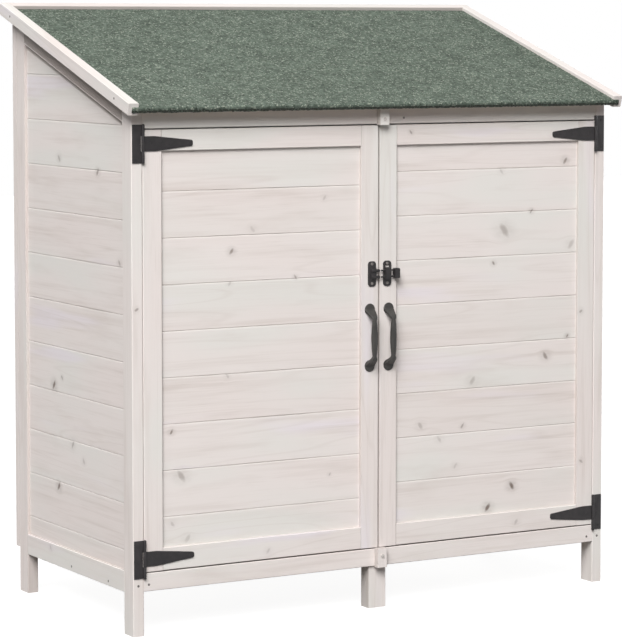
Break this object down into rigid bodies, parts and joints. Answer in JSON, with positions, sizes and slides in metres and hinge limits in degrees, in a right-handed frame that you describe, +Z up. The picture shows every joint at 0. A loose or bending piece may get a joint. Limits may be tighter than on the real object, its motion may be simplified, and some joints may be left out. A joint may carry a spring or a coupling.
{
  "type": "garden shed",
  "caption": "White-washed garden shed on short legs with a sloping green felt roof, a pair of boarded doors on strap hinges, bow handles, a bolt and turn buttons.",
  "frame": {"origin": "centre of the footprint of the whole shed, on the ground", "axes": "+X to the right seen from the front, +Y to the back, +Z up; the doors face -Y"},
  "size_m": [1.35, 0.7114, 1.4382],
  "materials": {
    "washed_frame": "thin white wash over planed fir",
    "washed_boards": "thin white wash over tongued fir boards",
    "plain_wood": "planed fir, not painted",
    "green_felt": "bitumen felt with green mineral grit",
    "black_iron": "satin black coating",
    "zinc_steel": "dull zinc"
  },
  "bodies": {
    "carcass": {"post_front_left": "washed_frame", "post_front_right": "washed_frame", "post_rear_left": "washed_frame", "post_rear_right": "washed_frame", "leg_front_middle": "washed_frame", "front_rail": "washed_frame", "header": "washed_frame", "side_bottom_rail_left": "washed_frame", "side_bottom_rail_right": "washed_frame", "side_top_rail_left": "washed_frame", "side_top_rail_right": "washed_frame", "side_boards_left": "washed_boards", "side_boards_right": "washed_boards", "back_stile_left": "washed_frame", "back_stile_right": "washed_frame", "back_top_rail": "washed_frame", "back_bottom_rail": "washed_frame", "back_boards": "washed_boards", "floor_bearers": "plain_wood", "floor_boards": "plain_wood", "roof_boards": "plain_wood", "roof_felt": "green_felt", "barge_left": "washed_frame", "barge_right": "washed_frame", "rear_trim": "washed_frame", "leaf_left_top": "black_iron", "leaf_left_bottom": "black_iron", "leaf_right_top": "black_iron", "leaf_right_bottom": "black_iron", "hinge_pins": "black_iron", "turn_button_screws": "zinc_steel"},
    "left_door": {"left_hinge_stile": "washed_frame", "left_lock_stile": "washed_frame", "left_top_rail": "washed_frame", "left_bottom_rail": "washed_frame", "left_door_boards": "washed_boards", "strap_left_top": "black_iron", "strap_left_bottom": "black_iron", "latch_keeper": "black_iron", "handle_left": "black_iron"},
    "right_door": {"right_hinge_stile": "washed_frame", "right_lock_stile": "washed_frame", "right_top_rail": "washed_frame", "right_bottom_rail": "washed_frame", "right_door_boards": "washed_boards", "strap_right_top": "black_iron", "strap_right_bottom": "black_iron", "latch_plate": "black_iron", "handle_right": "black_iron"},
    "bolt": {"latch_bolt": "black_iron"},
    "top_button": {"turn_button_top": "washed_frame"},
    "foot_button": {"turn_button_bottom": "washed_frame"}
  },
  "joints": [
    {"name": "left_door_swing", "type": "hinge", "parent": "carcass", "child": "left_door", "pos_m": [-0.6222, -0.31856, 0.647], "axis": [0, 0, -1], "range_deg": [0, 110]},
    {"name": "right_door_swing", "type": "hinge", "parent": "carcass", "child": "right_door", "pos_m": [0.6222, -0.31856, 0.647], "axis": [0, 0, 1], "range_deg": [0, 110]},
    {"name": "top_button_turn", "type": "hinge", "parent": "carcass", "child": "top_button", "pos_m": [0.006, -0.32296, 1.164], "axis": [0, 1, 0], "range_deg": [0, 180]},
    {"name": "foot_button_turn", "type": "hinge", "parent": "carcass", "child": "foot_button", "pos_m": [0.0015, -0.32296, 0.128], "axis": [0, 1, 0], "range_deg": [0, 180]},
    {"name": "bolt_slide", "type": "slide", "parent": "right_door", "child": "bolt", "axis": [-1, 0, 0], "range_m": [0, 0.01]}
  ]
}
